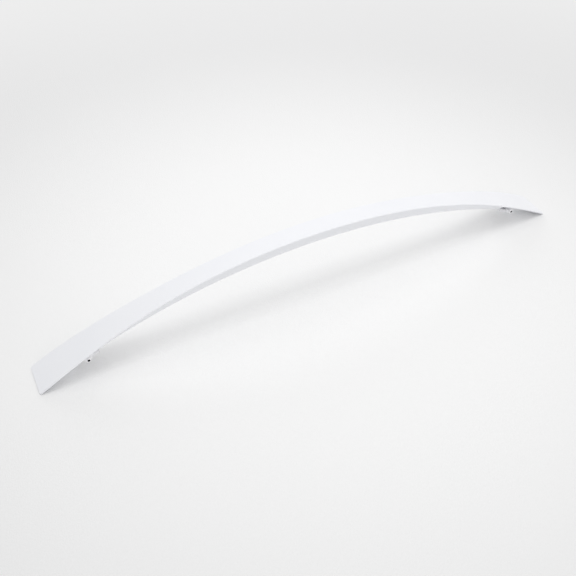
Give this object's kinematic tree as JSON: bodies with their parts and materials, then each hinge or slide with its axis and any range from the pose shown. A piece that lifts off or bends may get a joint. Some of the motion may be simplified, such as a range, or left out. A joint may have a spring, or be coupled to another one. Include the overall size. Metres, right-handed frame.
{
  "type": "refrigerator door handle",
  "caption": "Bowed white refrigerator door handle: flat outer face, rounded grip, flared thin tips, and stud sockets with set screws under the ends.",
  "frame": {"origin": "middle of the handle on the door's face, under the centre of the bow", "axes": "+X along the handle, +Z away from the door, -Y the side that the set screws face"},
  "size_m": [0.57, 0.0364, 0.0752],
  "materials": {
    "bow_white": "satin gloss, moulded",
    "mount_metal": "die-cast, lightly blasted",
    "screw_steel": "zinc plated"
  },
  "bodies": {
    "root": {"handle_bow": "bow_white", "mount_left": "mount_metal", "mount_right": "mount_metal", "set_screw_left": "screw_steel", "set_screw_right": "screw_steel", "mount_screw_left_inner": "screw_steel", "mount_screw_left_outer": "screw_steel", "mount_screw_right_inner": "screw_steel", "mount_screw_right_outer": "screw_steel"}
  },
  "joints": []
}
